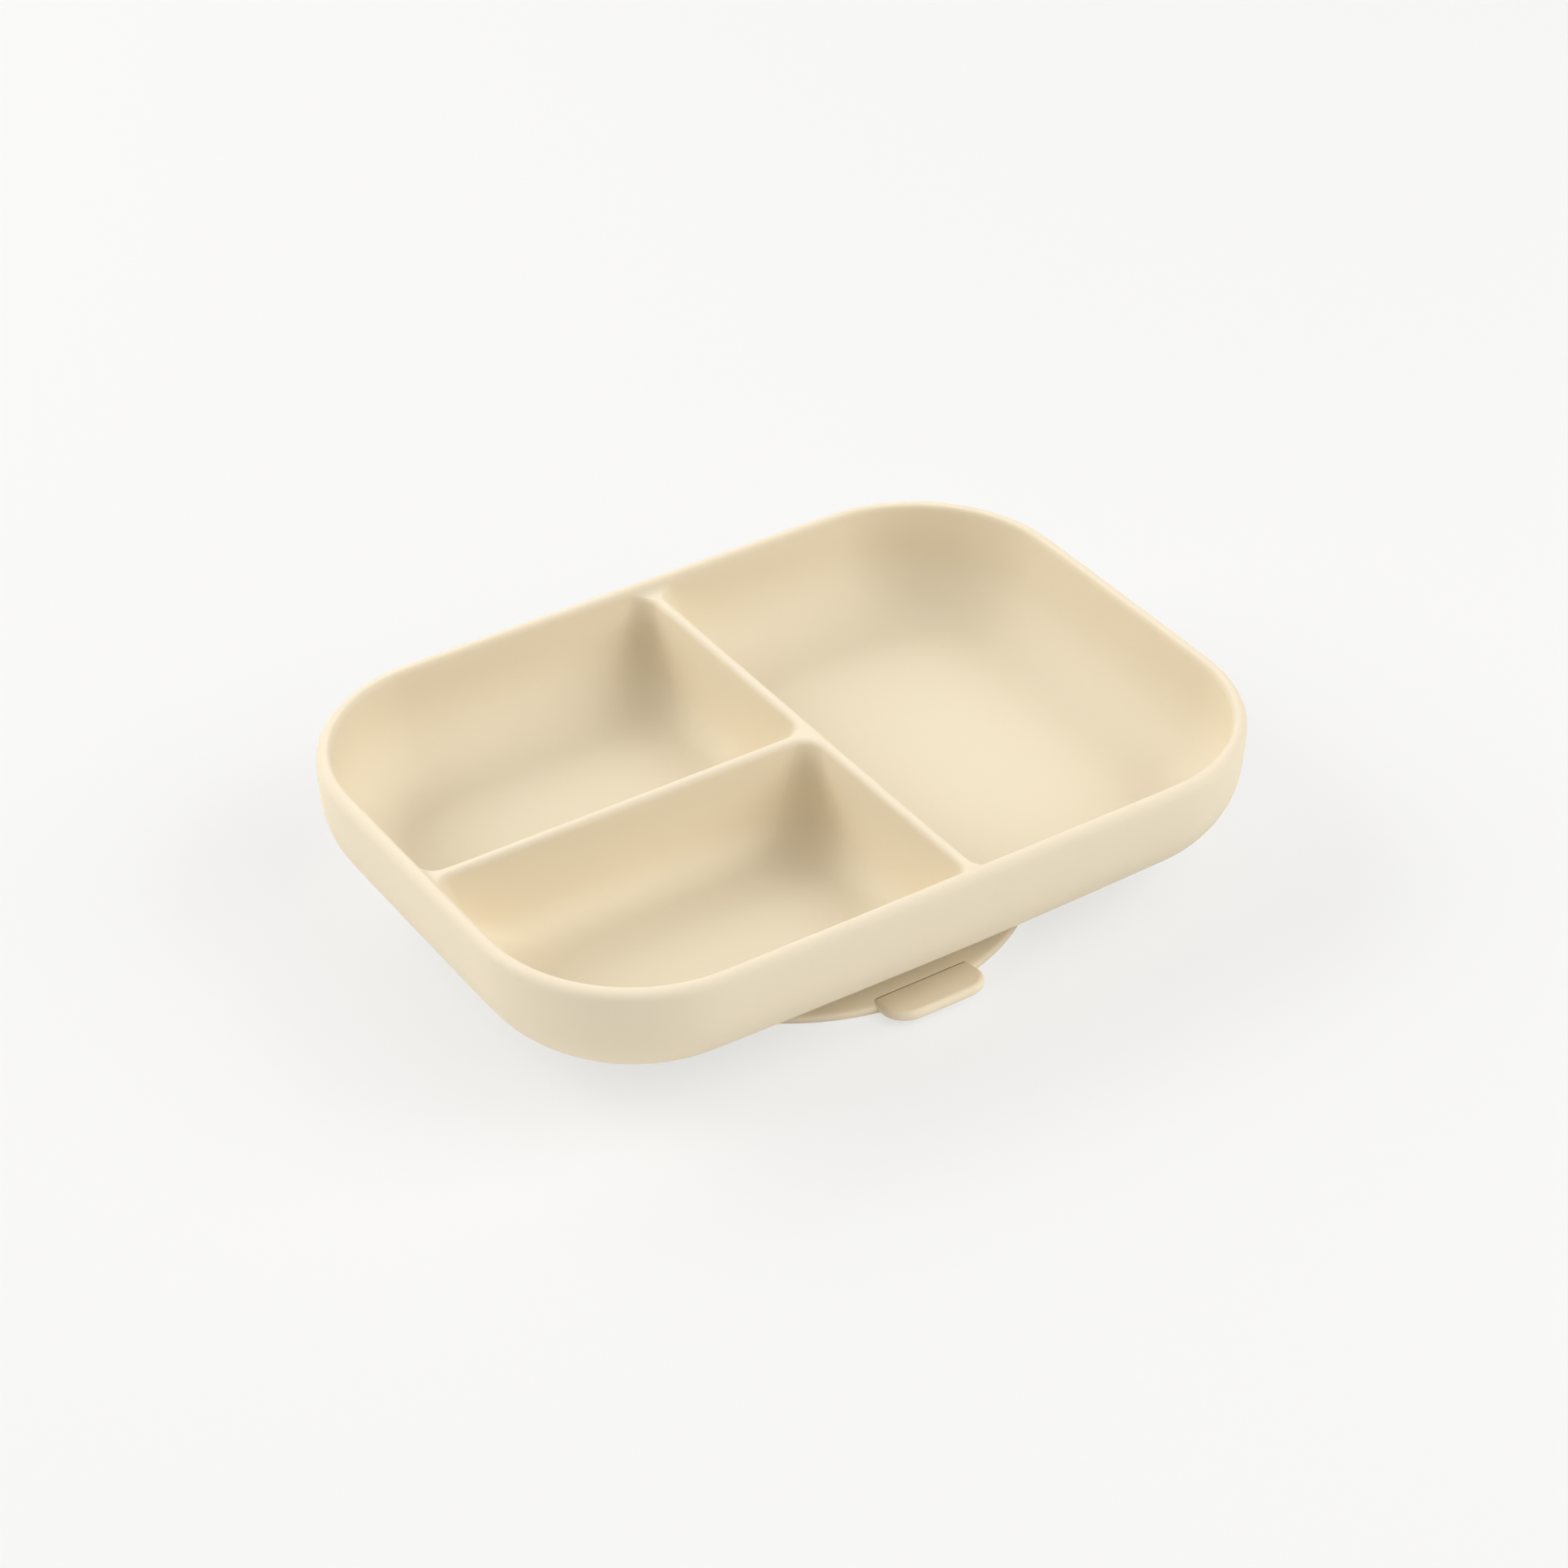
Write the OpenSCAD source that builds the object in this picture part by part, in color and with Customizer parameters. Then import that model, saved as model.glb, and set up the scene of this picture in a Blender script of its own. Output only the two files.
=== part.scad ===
// Silicone divided plate for a small child: a deep rounded rectangular tray with three
// compartments, moulded in one piece with a round suction foot and a pull tab.
// The length lies along X with the large compartment toward +X, the pull tab points
// toward -Y, and the suction foot stands on z = 0.

/* [Tray] */
// Length over the rim
tray_l = 230; // [210:1:270]
// Width over the rim
tray_w = 164.5; // [150:0.5:190]
// Height from the flat underside to the top of the rim
tray_h = 34; // [30:0.5:42]
// Corner radius of the rim seen from above
corner_r = 46; // [38:1:50]
// Thickness of the outer wall, which ends in a fully rounded rim
wall = 4.2; // [3:0.1:5]
// Thickness of the floor
floor_t = 3.2; // [2.4:0.1:4.5]
// Lean of the outer wall in degrees
wall_lean = 2.7; // [1:0.1:5]
// Radius of the outer curve from the wall to the underside
belly_r = 22.4; // [16:0.2:24]
// Radius of the inner curve from the wall to the floor
bowl_r = 21; // [14:0.2:24]

/* [Dividers] */
// Thickness of the dividers at the top
divider_t = 3.3; // [2.4:0.1:5]
// Place of the cross divider along the length
cross_x = 6.9; // [-20:0.1:30]
// Place of the half divider across the width
half_y = -3; // [-12:0.1:12]
// Distance from the rim down to the top of the dividers
divider_drop = 2.7; // [1:0.1:8]
// Lean of the divider faces in degrees
divider_lean = 3; // [1:0.1:6]
// Radius of the curve at the foot of the dividers
foot_r = 9; // [5:0.5:12]
// Radius of the upright corners beside the dividers, at their top
nook_top_r = 7; // [4:0.5:12]
// Radius of the upright corners beside the dividers, at the floor
nook_floor_r = 19; // [8:0.5:22]
// Radius of the curve by which the top of a divider runs up into the wall
divider_end_r = 3; // [1:0.5:5]

/* [Suction foot] */
// Radius of the suction cup over its edge
cup_r = 67.9; // [55:0.1:72]
// Height from the table to the flat underside of the tray
foot_h = 13.5; // [12:0.5:20]
// Radius of the rounded edge of the cup
cup_edge_r = 1.4; // [1:0.1:1.6]
// Rise of the top of the cup toward the neck in degrees
cup_slope = 8; // [5:0.5:9]
// Depth of the hollow under the cup
hollow_h = 5.5; // [3:0.1:6]
// Width of the flat sealing ring that rests on the table
seal_w = 5.5; // [3:0.5:9]
// Radius of the neck between the cup and the tray
neck_r = 32; // [24:0.5:38]
// Radius of the curves above and below the neck
neck_fillet = 2.5; // [1:0.1:2.6]

/* [Pull tab] */
// Width of the tab
tab_w = 31; // [22:0.5:44]
// Reach of the tab past the edge of the cup
tab_reach = 8.2; // [5:0.1:16]
// Thickness of the tab
tab_t = 3; // [2.4:0.1:5]
// Corner radius of the tab seen from above
tab_corner_r = 7; // [4:0.1:10]
// Height of the underside of the tab above the table, at its end
tab_lift = 1.9; // [0.5:0.1:4]

/* [Hidden] */
silicone = [0.91, 0.85, 0.74];
$fn = 64;

// Levels
under_z = foot_h;
floor_z = under_z + floor_t;
rim_z = under_z + tray_h;
divider_z = rim_z - divider_drop;

// The four corner axes of the tray stand at (+-axis_x, +-axis_y)
axis_x = tray_l / 2 - corner_r;
axis_y = tray_w / 2 - corner_r;

// Rim: two equal roundings with a narrow flat between them
rim_flat = 0.2;
rim_r = (wall - rim_flat) / 2;
rim_centre = [corner_r - wall + rim_r, rim_z - rim_r];

// Where the leaning faces leave the rim roundings, measured outward from a corner axis
outer_top = [
    corner_r - rim_r + rim_r * cos(wall_lean),
    rim_z - rim_r - rim_r * sin(wall_lean)
];
inner_top = [
    rim_centre[0] - rim_r * cos(wall_lean),
    rim_centre[1] + rim_r * sin(wall_lean)
];

// Centre of the curve of radius r that joins a leaning face below top to level z0
function curve_x(top, z0, r) =
    top[0] - (top[1] - z0 - r * (1 - sin(wall_lean))) * tan(wall_lean) - r * cos(wall_lean);
belly_x = curve_x(outer_top, under_z, belly_r);
bowl_x = curve_x(inner_top, floor_z, bowl_r);

// Steps along the long curves and the small roundings
curve_steps = 14;
edge_steps = 6;

// Points on an arc about [x, y] from angle a0 to a1
function arc(x, y, r, a0, a1, steps) =
    [for (i = [0:steps]) let (a = a0 + (a1 - a0) * i / steps) [x + r * cos(a), y + r * sin(a)]];

// Section of the tray from a corner axis outward: floor, curved wall and rounded rim
shell_section = concat(
    [[0, under_z]],
    arc(belly_x, under_z + belly_r, belly_r, -90, -wall_lean, curve_steps),
    arc(corner_r - rim_r, rim_z - rim_r, rim_r, -wall_lean, 90, edge_steps),
    arc(rim_centre[0], rim_centre[1], rim_r, 90, 180 - wall_lean, edge_steps),
    arc(bowl_x, floor_z + bowl_r, bowl_r, -wall_lean, -90, curve_steps),
    [[0, floor_z]]
);

// How far the divider stock reaches into the wall and the floor
bite = min(wall, floor_t) / 2;

// Sideways spread at height z of a curve of radius r that ends on the floor
function foot(z, r) =
    z < floor_z + r ? r - sqrt(max(0, pow(r, 2) - pow(floor_z + r - z, 2))) : 0;

// Inner face of the leaning wall at height z, measured outward from a corner axis
function lean_x(z) =
    inner_top[0] - (inner_top[1] - z) * tan(wall_lean);

// Inner face of the outer wall at height z, with the curve at its foot and the rounded rim
function wall_x(z) =
    z > inner_top[1] ? rim_centre[0] - sqrt(max(0, pow(rim_r, 2) - pow(z - rim_centre[1], 2)))
    : z > floor_z + bowl_r * (1 - sin(wall_lean)) ? lean_x(z)
    : bowl_x + bowl_r - foot(z, bowl_r);

// Curve at the end of a divider's top, which meets the rim rounding or the wall below it
end_z = divider_z + divider_end_r;
end_on_rim = end_z - divider_end_r * sin(wall_lean) > inner_top[1];
end_turn = end_on_rim
    ? asin((end_z - rim_centre[1]) / (rim_r + divider_end_r))
    : wall_lean;
end_x = end_on_rim
    ? rim_centre[0] - (rim_r + divider_end_r) * cos(end_turn)
    : lean_x(end_z) - divider_end_r / cos(wall_lean);

// Section of the stock that the dividers are cut from
stock_section = concat(
    [[0, floor_z - bite]],
    arc(bowl_x, floor_z + bowl_r, bowl_r + bite, -90, -wall_lean, curve_steps),
    [[rim_centre[0], end_z - divider_end_r * sin(end_turn)]],
    arc(end_x, end_z, divider_end_r, -end_turn, -90, edge_steps),
    [[0, divider_z]]
);

// Divider top: nearly a full round, with a narrow flat
crest_flat = 0.2;
crest_r = (divider_t - crest_flat) / 2;
function crest(z) =
    divider_z - z < crest_r
        ? crest_r - sqrt(pow(crest_r, 2) - pow(crest_r - divider_z + z, 2))
        : 0;

// Half the thickness of a divider at height z, with its lean and the curve at its foot
function divider_half(z) =
    divider_t / 2 - crest(z) + (divider_z - z) * tan(divider_lean) + foot(z, foot_r);

// Upright corner radius at height z, which widens toward the floor
function nook(z) =
    nook_top_r + crest(z)
    + (nook_floor_r - nook_top_r) * (divider_z - z) / (divider_z - floor_z);

// The compartments reach this far into the wall and the floor, past the faces they meet
seam = 0.12;

// Heights of the outlines that a compartment is lofted through
lofted_turn = 7.5;
crest_turn = 18;
levels = concat(
    [
        for (a = [0:lofted_turn:90 - lofted_turn])
            let (z = floor_z + bowl_r * (1 - cos(a)))
            if (z < divider_z - crest_r - 1) z
    ],
    [for (a = [0:crest_turn:90]) divider_z - crest_r * (1 - sin(a))],
    [for (a = [crest_turn:crest_turn:90]) let (z = rim_z - rim_r * (1 - sin(a))) if (z > divider_z + 0.5) z]
);

// Outline at height z between the sides x0, x1, y0 and y1, with a radius for each corner
corner_steps = 8;
function outline(x0, x1, y0, y1, radii, z) =
    let (
        corners = [
            [x0 + radii[0], y0 + radii[0]],
            [x1 - radii[1], y0 + radii[1]],
            [x1 - radii[2], y1 - radii[2]],
            [x0 + radii[3], y1 - radii[3]]
        ]
    )
    [
        for (c = [0:3])
            for (p = arc(corners[c][0], corners[c][1], radii[c], 180 + 90 * c, 270 + 90 * c, corner_steps))
                [p[0], p[1], z]
    ];

// Solid through a list of outlines, which all have the same number of points
module loft(outlines) {
    n = len(outlines[0]);
    last = (len(outlines) - 1) * n;
    polyhedron(
        points = [for (o = outlines) each o],
        faces = concat(
            [[for (i = [0:n - 1]) i]],
            [[for (i = [n - 1:-1:0]) last + i]],
            [
                for (k = [0:n:last - 1])
                    for (i = [0:n - 1])
                        let (j = (i + 1) % n)
                        each [[k + i, k + n + i, k + n + j], [k + i, k + n + j, k + j]]
            ]
        )
    );
}

// Room left for an upright corner on a side that also holds a corner of the tray
function room(side, r) = max(0.5, side - r - 0.5);

// Compartment on one side of the cross divider: end is +1 or -1, and y0 and y1 give the
// sides across the width, of which those marked as divided are dividers
module compartment(end, low_divided, high_divided) {
    loft([
        for (z = levels)
            let (
                lower = min(z, divider_z),
                half = divider_half(lower),
                wall_at = wall_x(z) + seam,
                near = cross_x + end * half,
                far = end * (axis_x + wall_at),
                y0 = low_divided ? half_y + half : -axis_y - wall_at,
                y1 = high_divided ? half_y - half : axis_y + wall_at,
                inner = min(nook(lower), room(y1 - y0, wall_at), room(abs(far - near), wall_at)),
                low_r = low_divided ? inner : wall_at,
                high_r = high_divided ? inner : wall_at
            )
            end > 0
                ? outline(near, far, y0, y1, [inner, low_r, high_r, inner], z - seam)
                : outline(far, near, y0, y1, [low_r, inner, inner, high_r], z - seam)
    ]);
}

// A section carried round the tray: revolved at the corners, extruded along the sides,
// with the middle filled from level z0 to z1
module carry_round(section, z0, z1) {
    for (c = [[1, 1, 0], [-1, 1, 90], [-1, -1, 180], [1, -1, 270]])
        translate([c[0] * axis_x, c[1] * axis_y, 0])
            rotate([0, 0, c[2]])
                rotate_extrude(angle = 90)
                    polygon(section);
    for (turn = [0, 180]) {
        rotate([0, 0, turn])
            translate([axis_x, axis_y, 0])
                rotate([90, 0, 0])
                    linear_extrude(2 * axis_y)
                        polygon(section);
        rotate([0, 0, turn + 90])
            translate([axis_y, axis_x, 0])
                rotate([90, 0, 0])
                    linear_extrude(2 * axis_x)
                        polygon(section);
    }
    translate([-axis_x, -axis_y, z0])
        cube([2 * axis_x, 2 * axis_y, z1 - z0]);
}

module tray() {
    color(silicone)
        carry_round(shell_section, under_z, floor_z);
}

// How far from its divider a compartment's curves can reach
function curves_reach() =
    divider_half(floor_z) + nook_floor_r + 1;

module dividers() {
    reach = curves_reach();
    color(silicone)
        difference() {
            intersection() {
                carry_round(stock_section, floor_z - bite, divider_z);
                union() {
                    translate([cross_x - reach, -tray_w / 2, 0])
                        cube([2 * reach, tray_w, rim_z]);
                    translate([-tray_l / 2, half_y - reach, 0])
                        cube([tray_l / 2 + cross_x, 2 * reach, rim_z]);
                }
            }
            compartment(1, false, false);
            compartment(-1, true, false);
            compartment(-1, false, true);
        }
}

// Sphere radius of the hollow under the cup
hollow_edge = cup_r - cup_edge_r - seal_w;
hollow_r = (pow(hollow_edge, 2) + pow(hollow_h, 2)) / (2 * hollow_h);
hollow_half = asin(hollow_edge / hollow_r);

// Top of the cup at radius r
function cup_top(r) =
    cup_edge_r + cup_edge_r * cos(cup_slope)
    + (cup_r - cup_edge_r + cup_edge_r * sin(cup_slope) - r) * tan(cup_slope);

cup_section = concat(
    arc(0, hollow_h - hollow_r, hollow_r, 90, 90 - hollow_half, 8),
    arc(cup_r - cup_edge_r, cup_edge_r, cup_edge_r, -90, 90 - cup_slope, edge_steps + 2),
    arc(
        neck_r + neck_fillet, cup_top(neck_r + neck_fillet) + neck_fillet / cos(cup_slope),
        neck_fillet, 270 - cup_slope, 180, edge_steps
    ),
    arc(neck_r + neck_fillet, under_z - neck_fillet, neck_fillet, 180, 90, edge_steps),
    [[neck_r + neck_fillet, under_z + floor_t / 2], [0, under_z + floor_t / 2]]
);

module suction_foot() {
    color(silicone)
        rotate_extrude($fn = 96)
            polygon(cup_section);
}

// Flat disc of radius r and thickness t with a fully rounded edge
module puck(r, t) {
    rotate_extrude($fn = 32) {
        translate([r - t / 2, t / 2])
            intersection() {
                circle(d = t, $fn = 24);
                translate([0, -t / 2])
                    square([t / 2, t]);
            }
        square([r - t / 2, t]);
    }
}

// The tab starts in the rim of the cup, this far in from its edge, and leans upward
tab_root = 2.2;
tab_root_lift = 0.5;
tab_length = tab_root + tab_reach;
tab_lean = asin((tab_lift - tab_root_lift) / tab_length);

module pull_tab() {
    color(silicone)
        translate([0, tab_root - cup_r, tab_root_lift])
            rotate([-tab_lean, 0, 0])
                hull()
                    for (side = [-1, 1]) {
                        translate([side * (tab_w / 2 - tab_corner_r), tab_corner_r - tab_length, 0])
                            puck(tab_corner_r, tab_t);
                        translate([side * (tab_w - tab_t) / 2, 0, tab_t / 2])
                            sphere(d = tab_t, $fn = 24);
                    }
}

module plate() {
    tray();
    dividers();
    suction_foot();
    pull_tab();
}

plate();
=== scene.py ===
import math

import bmesh
import bpy
from mathutils import Matrix, Vector


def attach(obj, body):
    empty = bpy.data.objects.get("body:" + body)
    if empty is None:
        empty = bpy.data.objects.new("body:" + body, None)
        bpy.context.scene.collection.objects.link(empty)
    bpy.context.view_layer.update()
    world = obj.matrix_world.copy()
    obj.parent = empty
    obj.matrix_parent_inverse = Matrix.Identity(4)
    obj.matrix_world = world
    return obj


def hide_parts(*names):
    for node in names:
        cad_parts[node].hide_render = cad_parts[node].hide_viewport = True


bl_info = {
    "name": "Divided plate",
    "version": (1, 0, 0),
    "blender": (4, 5, 0),
    "location": "3D View > Sidebar > Plate",
    "description": "Models a soft silicone plate with three compartments and its studio",
    "category": "Object",
}

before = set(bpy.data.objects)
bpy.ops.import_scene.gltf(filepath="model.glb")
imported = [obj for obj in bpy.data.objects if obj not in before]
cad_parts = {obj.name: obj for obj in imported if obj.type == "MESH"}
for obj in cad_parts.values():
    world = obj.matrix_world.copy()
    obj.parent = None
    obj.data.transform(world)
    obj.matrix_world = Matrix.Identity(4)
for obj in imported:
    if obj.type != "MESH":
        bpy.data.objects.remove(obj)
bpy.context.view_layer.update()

MM = 0.001

# Two points this close together are one, and points this close to a sloping line are on it
NEAR = 1e-6
CLOSE = 1e-5

# The photograph's view: its turn and height seen from the plate, the camera's place to the right,
# upward and back from the middle of the rim in metres, and its lens in millimetres
VIEW_TURN = math.radians(-33.554)
VIEW_HEIGHT = math.radians(35.815)
VIEW_PLACE = (-0.000129, -0.0157, 1.05685)
VIEW_LENS = 91.63

# A quarter turn for Spin, which turns the other way round in a script than by hand
QUARTER = -math.pi / 2

# Width of the floor, and the distances between which it fades into the backdrop, in metres
FLOOR_SIZE = 8
FADE = (0.7, 1.6)

# Distance in metres from the plate to every soft box
LAMP_DISTANCE = 2

# Name, turn from the camera, height, width, depth and strength of each soft box
LAMPS = (
    ("front_strip", 338, 3.5, 1.3, 0.24, 5.0),
    ("front_left_box", 330, 30, 1.3, 1.3, 2.2),
    ("front_right_box", 50, 38, 1.3, 1.3, 11.0),
    ("right_box", 90, 35, 1.3, 1.3, 17.8),
    ("right_high_box", 90, 60, 1.3, 1.3, 6.4),
    ("back_box", 180, 35, 1.3, 1.3, 5.1),
    ("back_left_box", 225, 35, 1.3, 1.3, 13.1),
    ("left_box", 270, 38, 1.3, 1.3, 23.6),
)


def length(name, description, millimetres):
    """A length property with a default in millimetres"""
    return bpy.props.FloatProperty(
        name=name, description=description, default=millimetres * MM,
        min=0.0, precision=4, subtype="DISTANCE", unit="LENGTH",
    )


def angle(name, description, degrees):
    """An angle property with a default in degrees"""
    return bpy.props.FloatProperty(
        name=name, description=description, default=math.radians(degrees), subtype="ANGLE",
    )


def colour(name, description, value):
    """A colour property"""
    return bpy.props.FloatVectorProperty(
        name=name, description=description, default=value, size=3, min=0.0, max=1.0, subtype="COLOR",
    )


def share(name, description, value, highest=1.0):
    """A plain number between zero and its highest value"""
    return bpy.props.FloatProperty(
        name=name, description=description, default=value, min=0.0, max=highest, subtype="FACTOR",
    )


class PlateSizes(bpy.types.PropertyGroup):
    """Sizes of the moulded plate"""

    tray_length: length("Length", "Length over the rim", 230)
    tray_width: length("Width", "Width over the rim", 164.5)
    tray_height: length("Tray height", "From the underside to the top of the rim", 34)
    corner: length("Corner radius", "Radius of the rim's corners seen from above", 46)
    wall: length("Wall", "Thickness of the outer wall", 4.2)
    lip_outer: length("Lip", "Radius of the rim's outer edge; the inner edge takes the rest of the wall", 2.8)
    floor: length("Floor", "Thickness of the floor", 3.2)
    belly: length("Outer curve", "Radius from the wall to the underside", 22.4)
    belly_middle: share("Middle curve", "Share of the outer curve's radius left in the middle", 0.92)
    bowl: length("Inner curve", "Radius from the wall to the floor", 21)
    lean: angle("Wall lean", "Lean of the outer wall", 2.7)
    divider: length("Divider", "Thickness of the dividers at their top", 3.3)
    cross_x: length("Cross divider", "Place of the cross divider along the length", 6.9)
    half_y: bpy.props.FloatProperty(
        name="Half divider", description="Place of the half divider across the width",
        default=-3 * MM, subtype="DISTANCE", unit="LENGTH",
    )
    drop: length("Divider drop", "From the rim down to the top of the dividers", 2.7)
    divider_lean: angle("Divider lean", "Lean of the divider faces", 3)
    divider_foot: length("Divider foot", "Radius of the curve at the foot of the dividers", 9)
    nook_top: length("Nook at the top", "Radius of the upright corners at the top of a divider", 6)
    nook_floor: length("Nook at the floor", "Radius of the upright corners at the floor", 15.5)
    end_rise: length("Divider end", "Radius of the curve where a divider's top meets the wall", 3)
    foot_height: length("Foot height", "From the table to the underside of the tray", 13.5)
    cup: length("Cup radius", "Radius of the suction cup", 67.9)
    cup_edge: length("Cup edge", "Radius of the rounded edge of the cup", 1.4)
    hollow: length("Hollow", "Depth of the hollow under the cup", 5.5)
    seal: length("Seal", "Width of the flat ring that rests on the table", 5.5)
    neck: length("Neck radius", "Radius of the neck between cup and tray", 32)
    neck_fillet: length("Neck fillet", "Radius of the curves above and below the neck", 2.5)
    cup_slope: angle("Cup slope", "Rise of the cup's top toward the neck", 8)


class TabSizes(bpy.types.PropertyGroup):
    """Sizes of the pull tab"""

    width: length("Width", "Width of the tab", 30.6)
    middle: length("Middle", "Place of the tab's middle along the plate", 0.4)
    reach: length("Reach", "Reach of the tab past the edge of the cup", 8.2)
    thickness: length("Thickness", "Thickness of the tab", 3)
    corner: length("Corner radius", "Radius of the tab's corners seen from above", 7.2)
    lift: length("Lift", "Height of the underside above the table at the tab's end", 2.1)
    root: length("Root", "How far the tab reaches into the cup", 5)
    root_lift: length("Root lift", "Height of the underside where the tab leaves the cup", 0.1)


class SiliconeFinish(bpy.types.PropertyGroup):
    """Colour and surface of the silicone"""

    cream: colour("Cream", "Main colour", (0.812, 0.716, 0.54))
    pale: colour("Pale cream", "Colour of the slightly paler clouds", (0.828, 0.734, 0.56))
    # A paler cream where light is painted: a painted highlight on the lip and the divider tops, and painted
    # light on the shaded cup and tab
    edge: colour("Highlight cream", "Paler cream painted on the lip, the divider tops and the foot as painted highlight and painted light", (0.9, 0.79, 0.6))
    roughness: share("Roughness", "Mean roughness of the skin", 0.58)
    grain: share("Grain", "Strength of the fine moulded grain", 0.12)


class StudioSettings(bpy.types.PropertyGroup):
    """Floor and light"""

    floor: colour("Floor", "Colour of the floor", (0.945, 0.935, 0.91))
    backdrop: share("Backdrop", "Brightness of the floor behind the plate, where 1 is white", 0.915)
    shadow: share("Shadow", "Share of the floor's own light and shadow that the backdrop lets through", 0.3)
    level: share("Light level", "Strength of all the lamps together", 0.98, 4.0)


def direction(turn, height):
    """The way from the plate toward a turn and a height"""
    return Vector((
        math.sin(turn) * math.cos(height), -math.cos(turn) * math.cos(height), math.sin(height),
    ))


def start_choice():
    """Deselects everything in the mesh in edit mode and returns the mesh"""
    mesh = bmesh.from_edit_mesh(bpy.context.edit_object.data)
    for part in (mesh.verts, mesh.edges, mesh.faces):
        for element in part:
            element.select = False
    return mesh


def choose(test):
    """Selects the vertices that pass a test, and the edges and faces that lie wholly in them"""
    mesh = start_choice()
    for vertex in mesh.verts:
        vertex.select = bool(test(vertex.co))
    mesh.select_flush(True)
    bmesh.update_edit_mesh(bpy.context.edit_object.data)


def choose_edges(test):
    """Selects the edges that pass a test"""
    mesh = start_choice()
    for edge in mesh.edges:
        if test(edge):
            edge.select_set(True)
    bmesh.update_edit_mesh(bpy.context.edit_object.data)


def choose_open_edges(low, high):
    """Selects the edges with a face on one side only whose two ends lie between two heights"""
    choose_edges(lambda edge: edge.is_boundary and all(low < vertex.co.z < high for vertex in edge.verts))


def start_piece(name, place):
    """Starts a piece in edit mode with one vertex, which stays selected"""
    bpy.ops.object.select_all(action="DESELECT")
    bpy.ops.mesh.primitive_plane_add(size=MM, location=place)
    piece = bpy.context.object
    piece.name = name
    bpy.ops.object.transform_apply(location=True, rotation=True, scale=True)
    bpy.ops.object.mode_set(mode="EDIT")
    bpy.ops.mesh.select_mode(type="VERT")
    bpy.ops.mesh.select_all(action="SELECT")
    bpy.ops.mesh.merge(type="CENTER")
    return piece


def draw_chain(points):
    """Extrudes the selected vertex along a list of points and leaves the whole chain selected"""
    for here, there in zip(points, points[1:]):
        bpy.ops.mesh.extrude_region_move(TRANSFORM_OT_translate={"value": Vector(there) - Vector(here)})
    bpy.ops.mesh.select_all(action="SELECT")


def arc(x, z, radius, start, end, steps):
    """Points on an arc in a section, with its angles in degrees"""
    angles = (math.radians(start + (end - start) * i / steps) for i in range(steps + 1))
    return [(x + radius * math.cos(a), z + radius * math.sin(a)) for a in angles]


class Section:
    """Levels and faces that follow from the plate's sizes"""

    flat = 0.2 * MM
    nook_steps = 6
    corner_steps = 12

    def __init__(self, sizes):
        s = self.sizes = sizes
        self.under = s.foot_height
        self.floor = self.under + s.floor
        self.rim = self.under + s.tray_height
        self.crest = self.rim - s.drop
        self.axis_x = s.tray_length / 2 - s.corner
        self.axis_y = s.tray_width / 2 - s.corner
        self.rim_r = (s.wall - self.flat) / 2
        self.rim_z = self.rim - self.rim_r
        self.rim_in = s.corner - s.wall + self.rim_r
        self.rim_out = s.corner - self.rim_r
        self.crest_r = (s.divider - self.flat) / 2

    def curve_x(self, top_x, top_z, base, radius):
        """Centre of the curve that joins a leaning face below its top to a level"""
        lean = self.sizes.lean
        drop = top_z - base - radius * (1 - math.sin(lean))
        return top_x - drop * math.tan(lean) - radius * math.cos(lean)

    @property
    def inner_top(self):
        """Where the inner face leaves the rim's rounding"""
        lean = self.sizes.lean
        return self.rim_in - self.rim_r * math.cos(lean), self.rim_z + self.rim_r * math.sin(lean)

    @property
    def outer_top(self):
        """Where the outer face leaves the rim's rounding"""
        lean = self.sizes.lean
        return self.rim_out + self.rim_r * math.cos(lean), self.rim_z - self.rim_r * math.sin(lean)

    def spread(self, z, radius):
        """Sideways spread at height z of a curve that ends on the floor"""
        if z >= self.floor + radius:
            return 0.0
        return radius - math.sqrt(max(0.0, radius ** 2 - (self.floor + radius - z) ** 2))

    def wall(self, z):
        """Inner face of the outer wall, measured outward from a corner axis"""
        s = self.sizes
        x, top = self.inner_top
        if z > top:
            return self.rim_in - math.sqrt(max(0.0, self.rim_r ** 2 - (z - self.rim_z) ** 2))
        if z > self.floor + s.bowl * (1 - math.sin(s.lean)):
            return x - (top - z) * math.tan(s.lean)
        return self.curve_x(x, top, self.floor, s.bowl) + s.bowl - self.spread(z, s.bowl)

    def rounding(self, z):
        """How far the rounded top of a divider stands back at height z"""
        rise = self.crest_r - self.crest + z
        if rise <= 0:
            return 0.0
        return self.crest_r - math.sqrt(max(0.0, self.crest_r ** 2 - rise ** 2))

    def half(self, z):
        """Half the thickness of a divider at height z"""
        s = self.sizes
        return (
            s.divider / 2 - self.rounding(z)
            + (self.crest - z) * math.tan(s.divider_lean) + self.spread(z, s.divider_foot)
        )

    def nook(self, z):
        """Radius of the upright corners beside a divider at height z"""
        s = self.sizes
        widen = (s.nook_floor - s.nook_top) * (self.crest - z) / (self.crest - self.floor)
        return s.nook_top + self.rounding(z) + widen

    def end_rise(self, distance):
        """How far the top of a divider rises at a distance from the wall that it runs into"""
        radius = self.sizes.end_rise
        above = self.crest + radius - self.rim_z
        centre = math.sqrt((self.rim_r + radius) ** 2 - above ** 2) - self.rim_r
        inside = max(0.0, centre - distance)
        return radius - math.sqrt(radius ** 2 - min(inside, radius) ** 2)


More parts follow.
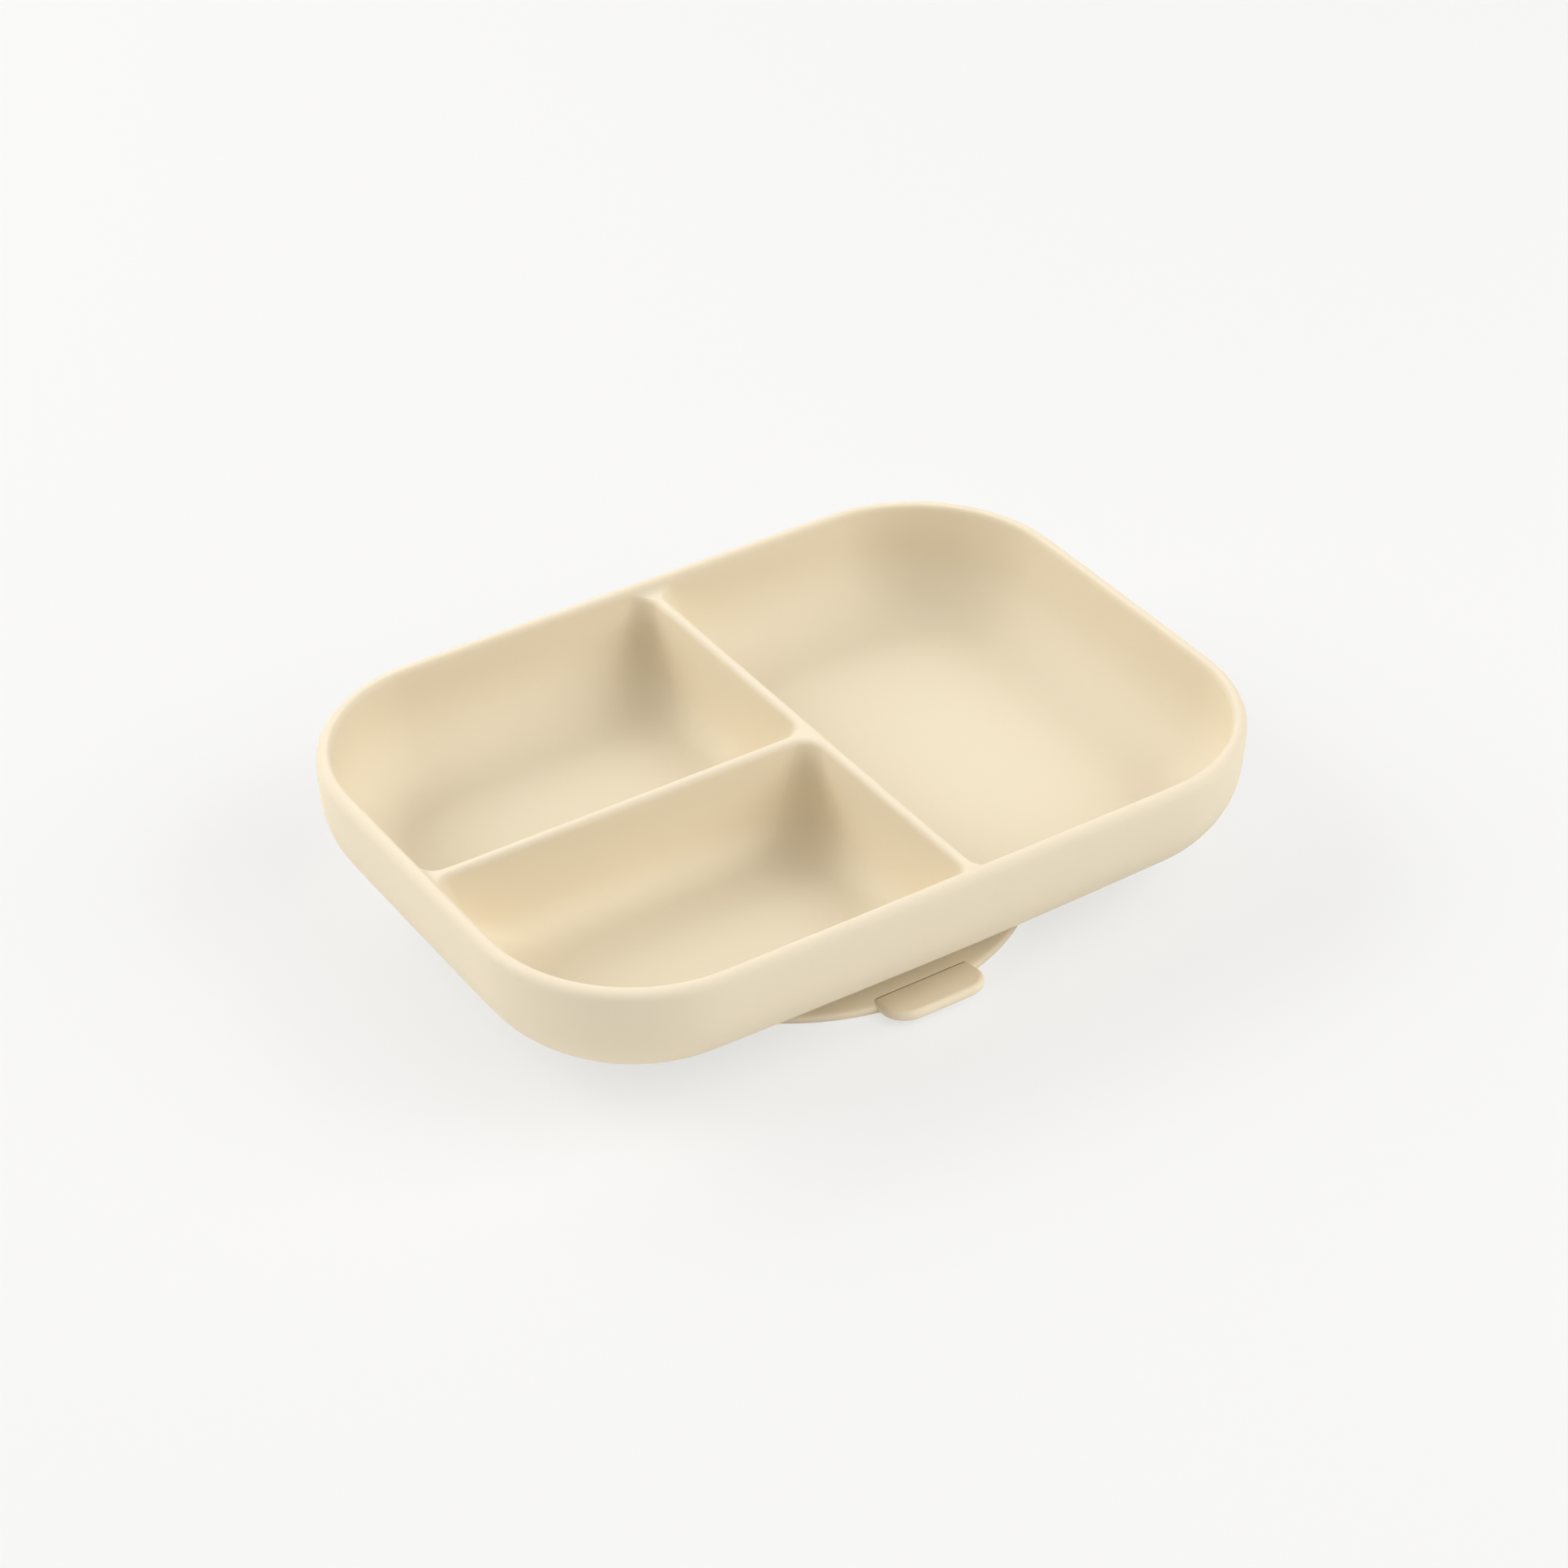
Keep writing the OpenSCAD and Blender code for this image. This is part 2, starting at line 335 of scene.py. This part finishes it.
def draw_outline(x, y, z, corners):
    """Adds a rectangle of edges between two x and two y at height z and rounds its corners"""
    bpy.ops.mesh.select_all(action="DESELECT")
    middle = ((x[0] + x[1]) / 2, (y[0] + y[1]) / 2, z)
    bpy.ops.mesh.primitive_plane_add(size=2, location=middle)
    bpy.ops.transform.resize(value=((x[1] - x[0]) / 2, (y[1] - y[0]) / 2, 1), center_override=middle)
    bpy.ops.mesh.delete(type="ONLY_FACE")
    for i, j, radius, steps in corners:
        corner = Vector((x[i], y[j], z))
        choose(lambda co: (co - corner).length < NEAR)
        bpy.ops.mesh.bevel(offset=radius, segments=steps, affect="VERTICES", clamp_overlap=False)


class Compartment:
    """One compartment: its outlines at every height, and its place beside the dividers"""

    def __init__(self, section, end, low_divided=False, high_divided=False):
        self.section = section
        self.end = end
        self.low_divided = low_divided
        self.high_divided = high_divided

    def holds(self, co):
        """True for a point on this compartment's side of the dividers"""
        s = self.section.sizes
        if (co.x - s.cross_x) * self.end < 0:
            return False
        if self.low_divided:
            return co.y > s.half_y
        if self.high_divided:
            return co.y < s.half_y
        return True

    def sides(self, z):
        """The two x, the two y and the corner radii at height z"""
        g, s = self.section, self.section.sizes
        half, wall, nook = g.half(z), g.wall(z), g.nook(z)
        near = s.cross_x + self.end * half
        far = self.end * (g.axis_x + wall)
        low = s.half_y + half if self.low_divided else -g.axis_y - wall
        high = s.half_y - half if self.high_divided else g.axis_y + wall
        nook = min(nook, high - low - wall - 1 * MM, abs(far - near) - wall - 1 * MM)
        return near, far, low, high, nook, wall

    def draw(self, z):
        """Adds the outline at height z"""
        near, far, low, high, nook, wall = self.sides(z)
        g = self.section
        inner, outer = (nook, g.nook_steps), (wall, g.corner_steps)
        x = (near, far) if near < far else (far, near)
        a, b = (0, 1) if near < far else (1, 0)
        corners = [
            (a, 0, *inner),
            (a, 1, *inner),
            (b, 0, *(inner if self.low_divided else outer)),
            (b, 1, *(inner if self.high_divided else outer)),
        ]
        draw_outline(x, (low, high), z, corners)
        if self.end > 0:
            self.gather(z, near, low + nook, high - nook, nook)

    def gather(self, z, x, low, high, nook):
        """Cuts the side that faces the half divider and gathers the cuts round its end"""
        g = self.section
        cuts = g.nook_steps + 2
        choose(lambda co: abs(co.z - z) < NEAR and abs(co.x - x) < NEAR)
        bpy.ops.mesh.subdivide(number_cuts=cuts)
        choose(lambda co: abs(co.z - z) < NEAR and abs(co.x - x) < NEAR and low + NEAR < co.y < high - NEAR)
        reach = (high - low) * (cuts - 1) / (cuts + 1) / 2
        squeeze = (g.half(g.crest) + g.nook(g.crest)) / reach
        middle = (x, (low + high) / 2, z)
        bpy.ops.transform.resize(value=(1, squeeze, 1), center_override=middle)
        bpy.ops.transform.translate(value=(0, g.sizes.half_y - middle[1], 0))


class Junction:
    """Where the half divider meets the cross divider, on the level of the divider tops"""

    def __init__(self, section, z, large, back, front):
        self.z = z
        self.large = large
        self.nook = section.nook(z)
        self.half_y = section.sizes.half_y
        self.near_x = large.sides(z)[0]
        self.corner_x = back.sides(z)[0] - self.nook
        self.back_y = back.sides(z)[2] + self.nook
        self.front_y = front.sides(z)[3] - self.nook

    def level(self, co):
        """True on the level of the divider tops"""
        return abs(co.z - self.z) < NEAR

    def past_middle(self, co):
        """Positive on the cross divider's side of the middle of a junction corner"""
        away = co.y - self.back_y if co.y > self.half_y else self.front_y - co.y
        return co.x - self.corner_x + away

    def beside_cross(self, co):
        """True along the cross divider"""
        if self.large.holds(co):
            return co.x < self.near_x + self.nook + NEAR
        return co.x > self.corner_x - NEAR and self.past_middle(co) > -NEAR

    def beside_half(self, co):
        """True along the half divider"""
        if self.large.holds(co) or not self.front_y - NEAR < co.y < self.back_y + NEAR:
            return False
        return self.past_middle(co) < NEAR

    def middle(self, co):
        """True for the four points round the middle of the junction"""
        if self.large.holds(co):
            return abs(co.x - self.near_x) < NEAR and abs(co.y - self.half_y) < self.nook / 4
        if co.x < self.corner_x - NEAR or not self.front_y - NEAR < co.y < self.back_y + NEAR:
            return False
        return abs(self.past_middle(co)) < CLOSE


class PLATE_OT_body(bpy.types.Operator):
    """Models the tray, its dividers and the suction foot as one moulded skin"""

    bl_idname = "plate.body"
    bl_label = "Moulded plate"

    def execute(self, context):
        g = Section(context.scene.plate_sizes)
        pockets = self.compartments(g)
        shell = self.shell(g)
        foot = self.suction_foot(g)
        bpy.ops.object.select_all(action="DESELECT")
        for piece in (shell, foot, pockets):
            piece.select_set(True)
        context.view_layer.objects.active = pockets
        bpy.ops.object.join()
        bpy.ops.object.mode_set(mode="EDIT")
        choose_open_edges(g.crest - 1 * MM, g.rim)
        bpy.ops.mesh.bridge_edge_loops()
        choose_open_edges(g.under - 1 * MM, g.under + 1 * MM)
        bpy.ops.mesh.bridge_edge_loops()
        bpy.ops.mesh.select_all(action="SELECT")
        bpy.ops.mesh.remove_doubles(threshold=NEAR)
        bpy.ops.mesh.normals_make_consistent(inside=False)
        bpy.ops.object.mode_set(mode="OBJECT")
        smooth = pockets.modifiers.new("smooth", "SUBSURF")
        smooth.levels = smooth.render_levels = 2
        bpy.ops.object.modifier_apply(modifier=smooth.name)
        bpy.ops.object.shade_smooth()
        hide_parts("plate")
        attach(pockets, "root")
        return {"FINISHED"}

    def compartments(self, g):
        """Lofts the three compartments and closes the divider tops between them"""
        s = g.sizes
        levels = [g.floor + s.bowl * (1 - math.cos(math.radians(a))) for a in (0, 11, 22, 33, 44, 55, 66, 78)]
        levels += [g.crest - g.crest_r - 4 * MM, g.crest - g.crest_r - 0.7 * MM]
        levels += [g.crest - g.crest_r * (1 - math.sin(math.radians(a))) for a in (0, 30, 60, 82)]
        large = Compartment(g, 1)
        back = Compartment(g, -1, low_divided=True)
        front = Compartment(g, -1, high_divided=True)
        piece = start_piece("plate_body", (0, 0, 0))
        bpy.ops.mesh.delete(type="VERT")
        for pocket in (large, back, front):
            for z in levels:
                pocket.draw(z)
            for low, high in zip(levels, levels[1:]):
                choose(lambda co: pocket.holds(co) and (abs(co.z - low) < NEAR or abs(co.z - high) < NEAR))
                bpy.ops.mesh.bridge_edge_loops()
            choose(lambda co: pocket.holds(co) and abs(co.z - levels[0]) < NEAR)
            bpy.ops.mesh.edge_face_add()
            bpy.ops.mesh.inset(thickness=4 * MM)
        self.divider_tops(g, Junction(g, levels[-1], large, back, front))
        bpy.ops.object.mode_set(mode="OBJECT")
        return piece

    def divider_tops(self, g, top):
        """Bridges the compartments' top outlines over the dividers and lifts the ends to the wall"""
        half_y = g.sizes.half_y
        choose(lambda co: top.level(co) and co.y > half_y and top.beside_cross(co))
        bpy.ops.mesh.bridge_edge_loops()
        choose(lambda co: top.level(co) and co.y < half_y and top.beside_cross(co))
        bpy.ops.mesh.bridge_edge_loops()
        choose(lambda co: top.level(co) and top.beside_half(co))
        bpy.ops.mesh.bridge_edge_loops()
        choose(lambda co: top.level(co) and top.middle(co))
        bpy.ops.mesh.edge_face_add()
        reach = g.half(top.z) + top.nook + NEAR
        for step in range(g.nook_steps):
            distance = top.nook * (1 - math.cos(math.radians(90 * step / g.nook_steps)))
            rise = g.end_rise(distance)
            if rise > NEAR:
                choose(lambda co: top.level(co) and self.from_end(co, g, top.z, reach, distance))
                bpy.ops.transform.translate(value=(0, 0, rise))

    @staticmethod
    def from_end(co, g, z, reach, distance):
        """True for a point on a divider at this distance from the wall that it runs into"""
        s, wall = g.sizes, g.wall(z)
        if abs(co.x - s.cross_x) < reach:
            away = g.axis_y + wall - abs(co.y)
            if abs(away - distance) < CLOSE:
                return True
        if abs(co.y - s.half_y) < reach and co.x < 0:
            return abs(g.axis_x + wall + co.x - distance) < CLOSE
        return False

    def shell(self, g):
        """Carries the section of rim, wall and underside round the tray"""
        s = g.sizes
        belly_x = g.curve_x(*g.outer_top, g.under, s.belly)
        lip_inner, lip_x = s.wall - s.lip_outer, s.corner - s.lip_outer
        section = arc(lip_x, g.rim - lip_inner, lip_inner, 150, 90, 2)
        section += arc(lip_x, g.rim - s.lip_outer, s.lip_outer, 90, 0, 4)[1:]
        section += [(g.outer_top[0] - 0.12 * MM, g.outer_top[1] - 3 * MM)]
        section += arc(belly_x, g.under + s.belly, s.belly, -math.degrees(s.lean), -90, 8)
        section += [(belly_x - 4 * MM, g.under)]
        points = [(g.axis_x + x, g.axis_y, z) for x, z in section]
        piece = start_piece("plate_shell", points[0])
        draw_chain(points)
        reach = g.half(g.crest) + g.nook(g.crest)
        marks = {
            "back": (s.cross_x + reach, s.cross_x - reach, -g.axis_x),
            "left": (s.half_y + reach, s.half_y - reach, -g.axis_y),
            "front": (s.cross_x - reach, s.cross_x + reach, g.axis_x),
            "right": (g.axis_y,),
        }
        corners = [(g.axis_x, g.axis_y), (-g.axis_x, g.axis_y), (-g.axis_x, -g.axis_y), (g.axis_x, -g.axis_y)]
        for (x, y), (side, stops) in zip(corners, marks.items()):
            bpy.ops.mesh.spin(steps=g.corner_steps, angle=QUARTER, center=(x, y, 0), axis=(0, 0, 1))
            along = Vector((1, 0, 0)) if side in ("back", "front") else Vector((0, 1, 0))
            here = Vector((x, y, 0)).dot(along)
            for stop in stops:
                bpy.ops.mesh.extrude_region_move(TRANSFORM_OT_translate={"value": along * (stop - here)})
                here = stop
        bpy.ops.mesh.select_all(action="SELECT")
        bpy.ops.mesh.remove_doubles(threshold=NEAR)
        self.tighten_curve(g, g.axis_y + belly_x, reach)
        bpy.ops.object.mode_set(mode="OBJECT")
        return piece

    def tighten_curve(self, g, start, reach):
        """Tightens the outer curve, which starts at this y, in the middle of the long sides"""
        s = g.sizes
        for side in (-1, 1):
            centre = (0, side * (start + s.belly), g.under)
            choose(lambda co: (
                abs(co.x - s.cross_x) < reach + NEAR
                and co.y * side > start - NEAR
                and co.z < g.under + s.belly
            ))
            bpy.ops.transform.resize(value=(1, s.belly_middle, s.belly_middle), center_override=centre)

    def suction_foot(self, g):
        """Spins the neck, the cup and the hollow under it"""
        s = g.sizes
        edge, slope = s.cup_edge, s.cup_slope
        edge_x = s.cup - edge
        foot_x = s.neck + s.neck_fillet

        def top(x):
            return edge + edge * math.cos(slope) + (edge_x + edge * math.sin(slope) - x) * math.tan(slope)

        tilt = math.degrees(slope)
        section = [(foot_x + 3 * MM, g.under)]
        section += arc(foot_x, g.under - s.neck_fillet, s.neck_fillet, 90, 180, 3)
        fillet_z = top(foot_x) + s.neck_fillet / math.cos(slope)
        section += arc(foot_x, fillet_z, s.neck_fillet, 180, 270 - tilt, 3)
        section += [(foot_x + 10 * MM, top(foot_x + 10 * MM)), (edge_x - 10 * MM, top(edge_x - 10 * MM))]
        section += arc(edge_x, edge, edge, 90 - tilt, -90, 6)
        hollow_x = edge_x - s.seal
        bend = (hollow_x ** 2 + s.hollow ** 2) / (2 * s.hollow)
        section += [(edge_x - 1.5 * MM, 0), (hollow_x + 0.6 * MM, 0), (hollow_x, 0)]
        for share_out in (0.985, 0.9, 0.75, 0.55, 0.35, 0.15, 0.0):
            x = hollow_x * share_out
            section.append((x, s.hollow - bend + math.sqrt(bend ** 2 - x ** 2)))
        points = [(x, 0, z) for x, z in section]
        piece = start_piece("plate_foot", points[0])
        draw_chain(points)
        # The underside's outline has ten edges between its corners, and the neck has one for each
        around = 4 * g.corner_steps + 10
        bpy.ops.mesh.spin(steps=around, angle=4 * QUARTER, center=(0, 0, 0), axis=(0, 0, 1))
        bpy.ops.mesh.select_all(action="SELECT")
        bpy.ops.mesh.remove_doubles(threshold=CLOSE)
        bpy.ops.object.mode_set(mode="OBJECT")
        return piece


class PLATE_OT_tab(bpy.types.Operator):
    """Models the pull tab on the front edge of the suction cup"""

    bl_idname = "plate.tab"
    bl_label = "Pull tab"

    def execute(self, context):
        t, cup = context.scene.tab_sizes, context.scene.plate_sizes.cup
        end, root = -cup - t.reach, -cup + t.root
        side = t.width / 2
        piece = start_piece("pull_tab", (0, 0, 0))
        bpy.ops.mesh.delete(type="VERT")
        corners = [(0, 0, t.corner, 8), (1, 0, t.corner, 8), (0, 1, 0.8 * MM, 2), (1, 1, 0.8 * MM, 2)]
        draw_outline((t.middle - side, t.middle + side), (end, root), 0, corners)
        bpy.ops.mesh.select_all(action="SELECT")
        bpy.ops.mesh.edge_face_add()
        bpy.ops.mesh.extrude_region_move(TRANSFORM_OT_translate={"value": (0, 0, t.thickness)})
        bpy.ops.mesh.select_all(action="SELECT")
        bpy.ops.mesh.normals_make_consistent(inside=False)
        choose_edges(lambda edge: abs(edge.verts[0].co.z - edge.verts[1].co.z) < NEAR)
        bpy.ops.mesh.select_mode(type="EDGE")
        bpy.ops.mesh.bevel(offset=t.thickness * 0.46, segments=5, affect="EDGES", clamp_overlap=False)
        bpy.ops.mesh.select_mode(type="VERT")
        bpy.ops.mesh.select_all(action="SELECT")
        bpy.ops.mesh.remove_doubles(threshold=NEAR)
        rise = math.asin((t.lift - t.root_lift) / (t.reach + t.root))
        bpy.ops.transform.rotate(value=rise, orient_axis="X", orient_type="GLOBAL", center_override=(0, root, 0))
        bpy.ops.transform.translate(value=(0, 0, t.root_lift))
        bpy.ops.object.mode_set(mode="OBJECT")
        bpy.ops.object.shade_smooth_by_angle(angle=math.radians(40))
        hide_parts("plate")
        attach(piece, "root")
        return {"FINISHED"}


class Wire:
    """A socket whose operators add Math nodes"""

    def __init__(self, finish, socket):
        self.finish = finish
        self.socket = socket

    def math(self, operation, *values):
        """Adds a Math node"""
        return self.finish.node("ShaderNodeMath", {"operation": operation}, dict(enumerate(values)))

    def __add__(self, other):
        return self.math("ADD", self, other)

    def __radd__(self, other):
        return self.math("ADD", other, self)

    def __sub__(self, other):
        return self.math("SUBTRACT", self, other)

    def __rsub__(self, other):
        return self.math("SUBTRACT", other, self)

    def __mul__(self, other):
        return self.math("MULTIPLY", self, other)

    def __rmul__(self, other):
        return self.math("MULTIPLY", other, self)

    def __truediv__(self, other):
        return self.math("DIVIDE", self, other)

    def __rtruediv__(self, other):
        return self.math("DIVIDE", other, self)

    def __lt__(self, other):
        return self.math("LESS_THAN", self, other)

    def __gt__(self, other):
        return self.math("GREATER_THAN", self, other)

    def __abs__(self):
        return self.math("ABSOLUTE", self)

    def most(self, other):
        """The larger of two values"""
        return self.math("MAXIMUM", self, other)

    def least(self, other):
        """The smaller of two values"""
        return self.math("MINIMUM", self, other)

    def rise(self, low, high):
        """0 below low, 1 above high and a straight line between them"""
        return ((self - low) / (high - low)).most(0).least(1)


class Finish:
    """The nodes of a material or of the world"""

    def __init__(self, owner):
        owner.use_nodes = True
        self.owner = owner
        self.tree = owner.node_tree
        self.tree.nodes.clear()

    def node(self, kind, settings=None, sockets=None, output=0):
        """Adds a node, makes its settings and fills its sockets with values or wires"""
        node = self.tree.nodes.new(kind)
        for key, value in (settings or {}).items():
            setattr(node, key, value)
        for key, value in (sockets or {}).items():
            if isinstance(value, Wire):
                self.tree.links.new(value.socket, node.inputs[key])
            else:
                node.inputs[key].default_value = value
        return Wire(self, node.outputs[output])

    def noise(self, place, scale, detail, roughness=0.5):
        """Smooth noise between 0 and 1"""
        return self.node("ShaderNodeTexNoise", {}, {
            "Vector": place, "Scale": scale, "Detail": detail, "Roughness": roughness,
        })

    def seen(self):
        """1 for what the camera, gloss or glass shows, 0 for what lights the object"""
        kinds = ("Is Camera Ray", "Is Glossy Ray", "Is Transmission Ray")
        camera, glossy, transmission = (self.node("ShaderNodeLightPath", output=kind) for kind in kinds)
        return (camera + glossy + transmission).least(1)

    def parts(self, place):
        """The three coordinates of a place"""
        return [self.node("ShaderNodeSeparateXYZ", {}, {0: place}, output=axis) for axis in "XYZ"]

    def mix(self, factor, first, second):
        """Mixes two colours"""
        sockets = {"Factor": factor, 6: first, 7: second}
        return self.node("ShaderNodeMix", {"data_type": "RGBA"}, sockets, output=2)

    def end(self, shader):
        """Ends the nodes with a shader"""
        kind = "World" if isinstance(self.owner, bpy.types.World) else "Material"
        out = self.tree.nodes.new("ShaderNodeOutput" + kind)
        self.tree.links.new(shader.socket, out.inputs["Surface"])


class PLATE_OT_finish(bpy.types.Operator):
    """Gives the plate its matte cream silicone, with a paler cream painted on its lip, divider tops and foot as
    painted highlight and painted light
    """

    bl_idname = "plate.finish"
    bl_label = "Silicone"

    def execute(self, context):
        look = context.scene.silicone_finish
        f = Finish(bpy.data.materials.new("cream_silicone"))
        place = f.node("ShaderNodeTexCoord", output=3)
        clouds = f.noise(place, 14, 2)
        mottle = f.noise(place, 160, 3)
        skin = f.noise(place, 2600, 2, 0.6)
        tone_and_painted_light = f.mix(clouds * 0.7 + mottle * 0.3, (*look.cream, 1), (*look.pale, 1))
        # Painted highlight and painted light: the paler edge cream laid over the clouds on the lip, the divider
        # tops and the foot
        tone_and_painted_light = f.mix(self.painted_light_mask(f, place, Section(context.scene.plate_sizes)), tone_and_painted_light, (*look.edge, 1))
        roughness = (mottle - 0.5) * 0.1 + (skin - 0.5) * 0.08 + look.roughness
        bump = f.node("ShaderNodeBump", {}, {
            "Strength": look.grain, "Distance": 0.05 * MM, "Height": skin + mottle * 0.5,
        })
        shader = f.node("ShaderNodeBsdfPrincipled", {}, {
            "Base Color": tone_and_painted_light, "Roughness": roughness, "Normal": bump, "Specular IOR Level": 0.2,
        })
        f.end(shader)
        for name in ("plate_body", "pull_tab"):
            piece = bpy.data.objects[name]
            piece.data.materials.clear()
            piece.data.materials.append(f.owner)
        return {"FINISHED"}

    def painted_light_mask(self, f, place, g):
        """Where light is painted: 1 on the lip and the divider tops for a painted highlight, and on the cup's
        edge and the tab for painted light, fading to 0 away from them
        """
        s = g.sizes
        x, y, z = f.parts(place)
        # Painted highlight along the top of the rim
        lip = z.rise(g.rim - 2 * MM, g.rim)
        wall = g.wall(g.crest)
        soft = s.divider / 2, s.divider / 2 + s.nook_top
        # Painted highlight along the tops of the cross and half dividers
        cross = (1 - abs(x - s.cross_x).rise(*soft)) * (g.axis_y + wall - abs(y)).rise(0, 2 * MM)
        half = (1 - abs(y - s.half_y).rise(*soft)) * (g.axis_x + wall + x).rise(0, 2 * MM) * (x < s.cross_x)
        top = z.rise(g.crest - g.crest_r, g.crest)
        # Painted light on the cup and the tab, which lie in shade under the tray
        foot = 1 - z.rise(g.under / 3, g.under)
        return lip.most(top * cross.most(half)).most(foot)


class PLATE_OT_studio(bpy.types.Operator):
    """Sets up the floor, the lamps and the camera"""

    bl_idname = "plate.studio"
    bl_label = "Studio"

    def execute(self, context):
        settings = context.scene.studio_settings
        bpy.ops.object.select_all(action="DESELECT")
        bpy.ops.mesh.primitive_plane_add(size=FLOOR_SIZE, location=(0, 0, 0))
        floor = context.object
        floor.name = "studio_floor"
        f = Finish(bpy.data.materials.new("studio_paper"))
        place = f.node("ShaderNodeTexCoord", output=3)
        away = f.node("ShaderNodeVectorMath", {"operation": "LENGTH"}, {0: place}, output=1)
        own = (1 - away.rise(*FADE)) * settings.shadow
        paper = f.node("ShaderNodeBsdfDiffuse", {}, {"Color": (*settings.floor, 1)})
        white = f.node("ShaderNodeEmission", {}, {"Color": (1, 1, 1, 1), "Strength": settings.backdrop})
        f.end(f.node("ShaderNodeMixShader", {}, {0: f.seen() * (1 - own), 1: paper, 2: white}))
        floor.data.materials.append(f.owner)
        self.air(context, settings)
        self.camera(context)
        self.lamps(context, settings)
        context.scene.view_settings.view_transform = "Standard"
        return {"FINISHED"}

    def air(self, context, settings):
        """A world that gives no light and shows the backdrop beyond the floor"""
        world = bpy.data.worlds.new("studio_air")
        context.scene.world = world
        f = Finish(world)
        dark = f.node("ShaderNodeBackground", {}, {"Color": (1, 1, 1, 1), "Strength": 0.0})
        white = f.node("ShaderNodeBackground", {}, {"Color": (1, 1, 1, 1), "Strength": settings.backdrop})
        f.end(f.node("ShaderNodeMixShader", {}, {0: f.seen(), 1: dark, 2: white}))

    def camera(self, context):
        """The photograph's view of the plate"""
        back = direction(VIEW_TURN, VIEW_HEIGHT)
        right = Vector((math.cos(VIEW_TURN), math.sin(VIEW_TURN), 0))
        axes = Matrix((right, back.cross(right), back)).transposed()
        rim = Vector((0, 0, Section(context.scene.plate_sizes).rim))
        camera = bpy.data.objects.new("camera", bpy.data.cameras.new("camera"))
        context.scene.collection.objects.link(camera)
        camera.matrix_world = axes.to_4x4()
        camera.location = rim + axes @ Vector(VIEW_PLACE)
        camera.data.lens = VIEW_LENS
        camera.data.sensor_width = 36
        camera.data.clip_start, camera.data.clip_end = 0.01, 20
        context.scene.camera = camera

    def lamps(self, context, settings):
        """Soft boxes round the plate, by turn from the camera, height, width, depth and strength"""
        for name, away, height, wide, deep, power in LAMPS:
            toward = direction(VIEW_TURN + math.radians(away), math.radians(height))
            lamp = bpy.data.objects.new(name, bpy.data.lights.new(name, "AREA"))
            context.scene.collection.objects.link(lamp)
            lamp.data.shape = "RECTANGLE"
            lamp.data.size, lamp.data.size_y = wide, deep
            lamp.data.energy = power * settings.level
            lamp.location = toward * LAMP_DISTANCE
            lamp.rotation_euler = toward.to_track_quat("Z", "Y").to_euler()
            lamp.visible_camera = False


class PLATE_PT_panel(bpy.types.Panel):
    """Lists the plate's sizes and steps"""

    bl_idname = "PLATE_PT_panel"
    bl_label = "Divided plate"
    bl_space_type = "VIEW_3D"
    bl_region_type = "UI"
    bl_category = "Plate"

    def draw(self, context):
        for group in GROUPS:
            box = self.layout.box()
            settings = getattr(context.scene, group)
            for key in settings.bl_rna.properties.keys():
                if key not in ("rna_type", "name"):
                    box.prop(settings, key)
        for operator in STEPS:
            self.layout.operator(operator.bl_idname)


GROUPS = {
    "plate_sizes": PlateSizes,
    "tab_sizes": TabSizes,
    "silicone_finish": SiliconeFinish,
    "studio_settings": StudioSettings,
}
STEPS = (PLATE_OT_body, PLATE_OT_tab, PLATE_OT_finish, PLATE_OT_studio)


def register():
    """Registers the classes and gives each scene its settings"""
    for group in (*GROUPS.values(), *STEPS, PLATE_PT_panel):
        bpy.utils.register_class(group)
    for name, group in GROUPS.items():
        setattr(bpy.types.Scene, name, bpy.props.PointerProperty(type=group))


def unregister():
    """Takes the settings and the classes away again"""
    for name in GROUPS:
        delattr(bpy.types.Scene, name)
    for group in reversed((*GROUPS.values(), *STEPS, PLATE_PT_panel)):
        bpy.utils.unregister_class(group)


def main():
    """Builds the plate and its studio"""
    register()
    bpy.ops.plate.body()
    bpy.ops.plate.tab()
    bpy.ops.plate.finish()
    bpy.ops.plate.studio()


if __name__ == "__main__":
    main()
